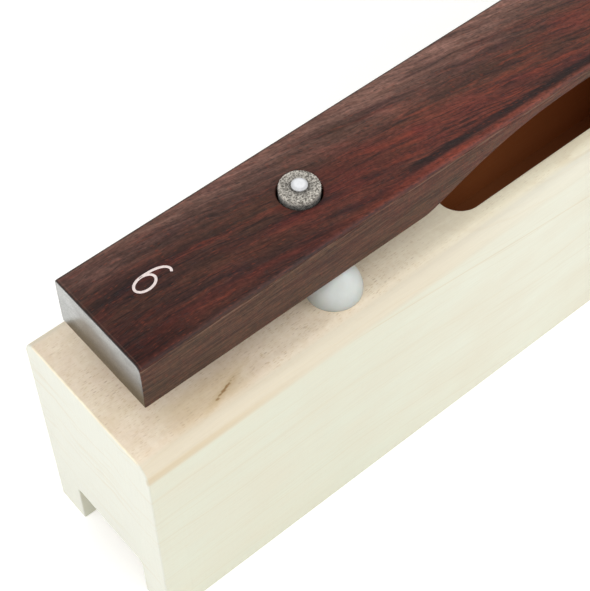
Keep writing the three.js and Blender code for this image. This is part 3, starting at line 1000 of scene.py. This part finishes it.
def figure_path(height, width, steps=18):
    """The middle line of a six, as (across, up) from its foot: a stroke that runs down into a closed bowl."""
    bowl = width / 2
    bowl_height = height * 0.29
    stroke_start = (width * 0.98, height * 0.93)
    corners = [stroke_start, (width * 0.72, height * 1.06), (0.0, height * 0.92), (0.0, bowl_height)]
    points = []
    for step in range(steps):
        t = step / steps
        weights = ((1 - t) ** 3, 3 * t * (1 - t) ** 2, 3 * t * t * (1 - t), t**3)
        points.append(tuple(sum(w * corner[i] for w, corner in zip(weights, corners)) for i in (0, 1)))
    for step in range(3 * steps + 1):
        angle = math.pi + 2 * math.pi * step / (3 * steps)
        points.append((bowl + bowl * math.cos(angle), bowl_height + bowl_height * math.sin(angle)))
    return points


class RESONATOR_OT_figure(bpy.types.Operator):
    """Presses a plain figure into the bar's left end"""

    bl_idname = "resonator.figure"
    bl_label = "Pressed Figure"

    def execute(self, context):
        size = context.scene.figure_settings
        line = bpy.data.curves.new("bar_figure", "CURVE")
        line.dimensions = "3D"
        line.bevel_depth = size.stroke / 2
        line.bevel_resolution = 5
        line.use_fill_caps = True
        points = figure_path(size.height - size.stroke, size.width - size.stroke)
        spline = line.splines.new("POLY")
        spline.points.add(len(points) - 1)
        for point, (across, up) in zip(spline.points, points):
            point.co = (up + size.stroke / 2, -(across + (size.stroke - size.width) / 2), 0.0, 1.0)
        curve = link("figure_line", line)
        mesh = real_mesh(curve)
        bpy.data.objects.remove(curve)
        flatten = Matrix.Diagonal((1.0, 1.0, 2 * size.relief / size.stroke, 1.0))
        lean = Matrix.Rotation(size.lean, 4, "Z")
        spot = Matrix.Translation((BAR_LOW.x + size.foot_from_end, size.from_middle, BAR_HIGH.z))
        mesh.transform(spot @ lean @ flatten)
        mesh.name = "bar_figure"
        for face in mesh.polygons:
            face.use_smooth = True
        dress(link("bar_figure", mesh), shared(pressed_foil), "pin_metal", "bar")
        return {"FINISHED"}


# Resonator box


class RESONATOR_OT_boards(bpy.types.Operator):
    """Makes the box's top board, side walls and end walls"""

    bl_idname = "resonator.boards"
    bl_label = "Box Boards"

    def execute(self, context):
        size = context.scene.resonator_box_settings
        self.top_board(size)
        for side, across in SIDES.items():
            self.side_wall(size, side, across)
        for end, along in ENDS.items():
            self.end_wall(size, end, along)
        return {"FINISHED"}

    def board(self, piece, tools, width, chosen, node):
        cut(piece, tools)
        ease(piece, width, chosen)
        shade(piece)
        dress(piece, shared(pale_wood), "box_wood", "box", node)

    def groove(self, size):
        depth = size.groove_depth
        low = (-END_LOW.x - depth, -SIDE_LOW.y - depth, BOTTOM_LOW.z)
        high = (END_LOW.x + depth, SIDE_LOW.y + depth, BOTTOM_HIGH.z + size.fit_gap)
        return block("groove_tool", low, high)

    def top_board(self, size):
        outline = loaf(TOP_HIGH.y - TOP_LOW.y, TOP_LOW.z, TOP_HIGH.z, size.edge_radius, 20)
        piece = prism("box_top", outline, "X", TOP_LOW.x, TOP_HIGH.x)
        length = 2 * (PIN_X - size.mouth_from_pin)
        width = 2 * SIDE_LOW.y
        low = TOP_LOW.z - OVER
        high = TOP_HIGH.z + OVER
        tools = [prism("mouth_tool", rounded_rectangle(length, width, size.mouth_corner), "Z", low, high)]
        for x in (-PIN_X, PIN_X):
            tools.append(cylinder("pin_tool", size.pin_hole, x, 0, low, high, 24))
            for y in (-BUFFER_Y, BUFFER_Y):
                stem_end = TOP_LOW.z + size.wood_under_stem
                tools.append(cylinder("stem_tool", size.stem_hole, x, y, stem_end, high, 32))

        def chosen(middle, direction):
            in_mouth = abs(middle.x) < length / 2 + TOUCH and abs(middle.y) < width / 2 + TOUCH
            return 1.0 if in_mouth and abs(direction.z) < 0.5 else 0.0

        self.board(piece, tools, size.mouth_arris, chosen, "top_board")

    def side_wall(self, size, side, across):
        faces = sorted((across * SIDE_LOW.y, across * SIDE_HIGH.y))
        low = (SIDE_LOW.x, faces[0], SIDE_LOW.z)
        high = (SIDE_HIGH.x, faces[1], SIDE_HIGH.z)
        piece = block(f"box_side_{side}", low, high)

        def chosen(middle, direction):
            return 1.0 if middle.z < TOUCH and abs(direction.x) > 0.5 else 0.0

        self.board(piece, [self.groove(size)], size.mouth_arris, chosen, f"side_wall_{side}")

    def end_wall(self, size, end, along):
        outer = along * END_HIGH.x
        low, high = sorted((along * END_LOW.x, outer))
        outline = loaf(END_HIGH.y - END_LOW.y, END_LOW.z, END_HIGH.z, size.edge_radius, 20)
        piece = prism(f"box_end_{end}", outline, "X", low, high)
        notch = loaf(size.notch_width, -OVER, size.notch_height, size.notch_corner, 8)
        tools = [self.groove(size), prism("notch_tool", notch, "X", low - OVER, high + OVER)]

        def chosen(middle, direction):
            return 1.0 if abs(middle.x - outer) < TOUCH else 0.0

        self.board(piece, tools, size.arris, chosen, f"end_wall_{end}")


class RESONATOR_OT_inner_boards(bpy.types.Operator):
    """Gives the bottom board and the pin rails their wood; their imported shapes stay"""

    bl_idname = "resonator.inner_boards"
    bl_label = "Inner Boards"

    def execute(self, context):
        for name in ("bottom_board", "pin_rail_left", "pin_rail_right"):
            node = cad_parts[name]
            material = shared(plywood if name == "bottom_board" else pale_wood)
            node.data.materials.clear()
            node.data.materials.append(material)
        return {"FINISHED"}


# Pins, felts and buffers


class RESONATOR_OT_pins(bpy.types.Operator):
    """Makes the two domed pins"""

    bl_idname = "resonator.pins"
    bl_label = "Pins"

    def execute(self, context):
        size = context.scene.fitting_settings
        head = (PIN_HIGH.x - PIN_LOW.x) / 2
        shank = size.pin_diameter / 2
        top = PIN_HIGH.z - PIN_LOW.z
        underside = top - size.pin_head_height
        rim = underside + size.pin_head_rim
        soft = size.pin_head_edge
        profile = [(0, 0.0), (shank, size.pin_point), (shank, underside), (head - soft, underside)]
        profile += [(head - 0.3 * soft, underside + 0.3 * soft), (head, underside + soft)]
        steps = 16
        for step in range(steps):
            angle = math.pi / 2 * step / steps
            profile.append((head * math.cos(angle), rim + (top - rim) * math.sin(angle)))
        profile.append((0, top))
        for end, along in ENDS.items():
            piece = turned(f"nail_pin_{end}", profile, along * PIN_X, 0, PIN_LOW.z, 56)
            shade(piece, 50)
            dress(piece, shared(plated_steel), "pin_metal", "box", f"pin_{end}")
        return {"FINISHED"}


def felt_fibres():
    """Scatters loose fibres over the upper edge of a felt tube and keeps them inside a cylinder round it."""
    inputs = {
        "Geometry": "Geometry",
        "From Height": 0.12,
        "Top Height": 0.13,
        "Fibre Density": 1.0e6,
        "Fibre Length": 0.001,
        "Fibre Diameter": 0.00004,
        "Axis Place": "Vector",
        "Reach": 0.0064,
        "Seed": 1,
        "Material": "Material",
    }
    group, tree, entry = new_group("Felt Fibres", "GeometryNodeTree", inputs, "Geometry", "Geometry")
    seed = {"Seed": entry["Seed"]}
    length = entry["Fibre Length"]
    height = tree.separate(tree.out("GeometryNodeInputPosition"))[2]
    shown = tree.compare("GREATER_THAN", height, entry["From Height"])
    spots = {"Mesh": entry["Geometry"], "Selection": shown, "Density": entry["Fibre Density"], **seed}
    scatter = tree.add("GeometryNodeDistributePointsOnFaces", spots, distribute_method="RANDOM").outputs
    rod = {"Vertices": 3, "Side Segments": 4, "Radius": entry["Fibre Diameter"] * 0.5, "Depth": length}
    stalk = tree.out("GeometryNodeMeshCylinder", rod, "Mesh")
    up = tree.separate(tree.out("GeometryNodeInputPosition"))[2] / length
    bow = {"Geometry": stalk, "Offset": tree.combine(up * up * length * 0.9)}
    curled = tree.out("GeometryNodeSetPosition", bow)

    # Each fibre lies nearly flat on the surface, in its own direction
    ways = {0: (-1.0, -1.0, -0.35), 1: (1.0, 1.0, 0.55), **seed}
    spin = tree.out("FunctionNodeRandomValue", ways, data_type="FLOAT_VECTOR")
    lean = Value(tree, scatter["Normal"]) * (0.35, 0.35, 0.35) + spin
    turn = tree.out("FunctionNodeAlignRotationToVector", {"Vector": lean}, axis="Z")
    size = tree.out("FunctionNodeRandomValue", {2: 0.35, 3: 1.0, **seed}, 1, data_type="FLOAT")
    points = Value(tree, scatter["Points"])
    laid = {"Points": points, "Instance": curled, "Rotation": turn, "Scale": size}
    fibres = tree.out("GeometryNodeInstanceOnPoints", laid)
    loose = tree.out("GeometryNodeRealizeInstances", {"Geometry": fibres})

    # What would touch the bar's hole, or stand too high, is pressed back
    x, y, z = tree.separate(tree.out("GeometryNodeInputPosition") - entry["Axis Place"])
    pull = tree.least(entry["Reach"] / tree.size(tree.combine(x, y)), 1.0)
    pressed = tree.combine(x * pull, y * pull, tree.least(z, entry["Top Height"]))
    pressing = {"Geometry": loose, "Position": pressed + entry["Axis Place"]}
    kept = tree.out("GeometryNodeSetPosition", pressing)
    tree.close(tree.out("GeometryNodeJoinGeometry", {0: [entry["Geometry"], kept]}), entry["Material"])
    return group


class RESONATOR_OT_felts(bpy.types.Operator):
    """Makes the two felt tubes, with loose fibres on the edge that shows"""

    bl_idname = "resonator.felts"
    bl_label = "Felts"

    def execute(self, context):
        size = context.scene.fitting_settings
        bore = size.felt_bore / 2
        radius = (FELT_HIGH.x - FELT_LOW.x) / 2
        height = FELT_HIGH.z - FELT_LOW.z
        wall_top = height - size.felt_edge
        fine_wall = 4 * MM
        wall_steps = 10
        ring_steps = 9
        fibred_height = 2.2 * MM
        room_above = 0.15 * MM
        room_round = 0.2 * MM
        face = radius - size.felt_edge
        profile = [(bore, 0), (radius, 0)]
        profile += [(radius, wall_top - fine_wall + fine_wall * k / wall_steps) for k in range(wall_steps)]
        profile += arc((face, wall_top), size.felt_edge, 0, 1, 6)
        profile += [(face - (face - bore) * k / ring_steps, height) for k in range(1, ring_steps + 1)]
        profile.append((bore, 0))
        for end, along in ENDS.items():
            piece = turned(f"felt_tube_{end}", profile, along * PIN_X, 0, FELT_LOW.z, 96)
            self.roughen(piece, size, along * PIN_X)
            for polygon in piece.data.polygons:
                polygon.use_smooth = True
            values = {
                "From Height": FELT_HIGH.z - fibred_height,
                "Top Height": height + room_above,
                "Axis Place": (along * PIN_X, 0.0, FELT_LOW.z),
                "Reach": radius + room_round,
                "Seed": 7 + along,
                "Material": shared(wool_felt),
            }
            grown(piece, shared(felt_fibres), size, values)
            dress(piece, shared(wool_felt), "felt", "box", f"felt_bush_{end}")
        return {"FINISHED"}

    def roughen(self, piece, size, x):
        """Pushes the felt's skin in unevenly, never outwards. Its foot on the box stays as it is."""
        smooth_foot = 1 * MM
        lump_size = 0.9 * MM
        for vertex in piece.data.vertices:
            if vertex.co.z < FELT_LOW.z + smooth_foot:
                continue
            lump = (0.5 + 0.5 * noise.noise(vertex.co / lump_size)) * size.felt_lumps
            inwards = Vector((x - vertex.co.x, -vertex.co.y, 0)).normalized()
            if vertex.co.z > FELT_HIGH.z - size.felt_edge:
                vertex.co.z -= lump
            vertex.co += inwards * lump * 0.6


class RESONATOR_OT_buffers(bpy.types.Operator):
    """Makes the four rubber buffers that carry the bar"""

    bl_idname = "resonator.buffers"
    bl_label = "Buffers"

    def execute(self, context):
        size = context.scene.fitting_settings
        radius = (BUFFER_HIGH.x - BUFFER_LOW.x) / 2
        stem = size.buffer_stem / 2
        foot = TOP_HIGH.z - BUFFER_LOW.z
        top = BUFFER_HIGH.z - BUFFER_LOW.z
        skirt = foot + size.buffer_skirt
        chamfer = size.buffer_chamfer
        profile = [(0, 0), (stem, 0), (stem, foot), (radius - chamfer, foot), (radius, foot + chamfer)]
        steps = 28
        power = 2 / size.buffer_roundness
        for step in range(steps):
            angle = math.pi / 2 * step / steps
            rise = (top - skirt) * math.sin(angle) ** power
            profile.append((radius * math.cos(angle) ** power, skirt + rise))
        profile.append((0, top))
        for end, along in ENDS.items():
            for side, across in SIDES.items():
                name = f"rubber_buffer_{end}_{side}"
                piece = turned(name, profile, along * PIN_X, across * BUFFER_Y, BUFFER_LOW.z, 72)
                shade(piece, 60)
                dress(piece, shared(soft_rubber), "white_rubber", "box", f"buffer_{end}_{side}")
        return {"FINISHED"}


# Floor, lights and camera


class RESONATOR_OT_stage(bpy.types.Operator):
    """Makes the pale floor, the studio light and the camera"""

    bl_idname = "resonator.stage"
    bl_label = "Stage"

    def execute(self, context):
        stage = context.scene.stage_settings
        self.floor(stage)
        self.world(context.scene, stage)
        for name in ("key", "fill", "end"):
            self.soft_light(name, stage)
        self.camera(context.scene, stage)
        context.scene.view_settings.view_transform = "Standard"
        return {"FINISHED"}

    def floor(self, stage):
        """A matt floor that glows more further out, where the lamps no longer reach."""
        half = stage.floor_size / 2
        piece = block("floor", (-half, -half, -10 * MM), (half, half, -0.1 * MM))
        material = bpy.data.materials.new("Studio Floor")
        material.use_nodes = True
        material.node_tree.nodes.clear()
        tree = Tree(material.node_tree)
        matt = tree.out("ShaderNodeBsdfDiffuse", {"Color": stage.floor})
        seen = tree.light_path("Camera", "Glossy")
        reach = tree.size(tree.out("ShaderNodeTexCoord", output="Object"))
        strength = seen * tree.spread(reach, 0.35, 1.3, stage.floor_glow, 1.0)
        glow = tree.out("ShaderNodeEmission", {"Strength": strength})
        both = tree.out("ShaderNodeAddShader", {0: matt, 1: glow})
        tree.add("ShaderNodeOutputMaterial", {"Surface": both})
        piece.data.materials.append(material)

    def world(self, scene, stage):
        """White to the camera. In reflections the horizon is white and the studio ceiling is dim."""
        scene.world = bpy.data.worlds.new("Studio")
        scene.world.use_nodes = True
        scene.world.node_tree.nodes.clear()
        tree = Tree(scene.world.node_tree)
        up = tree.separate(tree.out("ShaderNodeTexCoord", output="Generated"))[2]
        mirrored = tree.light_path("Glossy") * tree.spread(up, 0.35, 0.72, 1.0, stage.overhead)
        seen = tree.most(mirrored, tree.light_path("Camera", "Transmission"))
        strength = tree.most(seen, tree.light_path("Diffuse") * stage.ambient)
        back = tree.out("ShaderNodeBackground", {"Color": (1.0, 1.0, 1.0), "Strength": strength})
        tree.add("ShaderNodeOutputWorld", {"Surface": back})

    def soft_light(self, name, stage):
        lamp = bpy.data.lights.new(f"{name}_light", "AREA")
        lamp.shape = "SQUARE"
        lamp.size = getattr(stage, f"{name}_side")
        lamp.energy = getattr(stage, f"{name}_power")
        light = link(f"{name}_light", lamp)
        light.location = getattr(stage, f"{name}_place")
        light.rotation_mode = "QUATERNION"
        towards = Vector((0.0, 0.0, TOP_HIGH.z)) - light.location
        light.rotation_quaternion = towards.to_track_quat("-Z", "Y")

    def camera(self, scene, stage):
        lens = bpy.data.cameras.new("camera")
        lens.sensor_width = 36.0
        lens.lens = stage.focal_length
        lens.clip_start = 0.01
        camera = link("camera", lens)
        level = math.cos(stage.dip)
        ahead = (level * math.cos(stage.heading), level * math.sin(stage.heading), -math.sin(stage.dip))
        forward = Vector(ahead)
        right = forward.cross(Vector((0, 0, 1))).normalized()
        up = right.cross(forward)
        leaned_right = math.cos(stage.roll) * right + math.sin(stage.roll) * up
        leaned_up = math.cos(stage.roll) * up - math.sin(stage.roll) * right
        turn = Matrix((leaned_right, leaned_up, -forward)).transposed()
        camera.matrix_world = Matrix.Translation(stage.eye) @ turn.to_4x4()
        scene.camera = camera


class RESONATOR_PT_panel(bpy.types.Panel):
    """Lists the steps that dress the resonator bar"""

    bl_label = "Resonator Bar"
    bl_idname = "RESONATOR_PT_panel"
    bl_space_type = "VIEW_3D"
    bl_region_type = "UI"
    bl_category = "Resonator Bar"

    def draw(self, context):
        for group_name in SETTINGS:
            box = self.layout.box()
            settings = getattr(context.scene, group_name)
            for name in settings.bl_rna.properties.keys():
                if name not in ("rna_type", "name"):
                    box.prop(settings, name)
        for operator in OPERATORS:
            self.layout.operator(operator.bl_idname)


SETTINGS = {
    "sound_bar_settings": SoundBarSettings,
    "figure_settings": FigureSettings,
    "resonator_box_settings": BoxSettings,
    "fitting_settings": FittingSettings,
    "stage_settings": StageSettings,
}
OPERATORS = (
    RESONATOR_OT_sound_bar,
    RESONATOR_OT_figure,
    RESONATOR_OT_boards,
    RESONATOR_OT_inner_boards,
    RESONATOR_OT_pins,
    RESONATOR_OT_felts,
    RESONATOR_OT_buffers,
    RESONATOR_OT_stage,
)


def register():
    for name, group in SETTINGS.items():
        bpy.utils.register_class(group)
        setattr(bpy.types.Scene, name, bpy.props.PointerProperty(type=group))
    for operator in OPERATORS:
        bpy.utils.register_class(operator)
    bpy.utils.register_class(RESONATOR_PT_panel)


def unregister():
    bpy.utils.unregister_class(RESONATOR_PT_panel)
    for operator in reversed(OPERATORS):
        bpy.utils.unregister_class(operator)
    for name, group in SETTINGS.items():
        delattr(bpy.types.Scene, name)
        bpy.utils.unregister_class(group)


def main():
    register()
    bpy.ops.resonator.sound_bar()
    bpy.ops.resonator.figure()
    bpy.ops.resonator.boards()
    bpy.ops.resonator.inner_boards()
    bpy.ops.resonator.pins()
    bpy.ops.resonator.felts()
    bpy.ops.resonator.buffers()
    bpy.ops.resonator.stage()


if __name__ == "__main__":
    main()
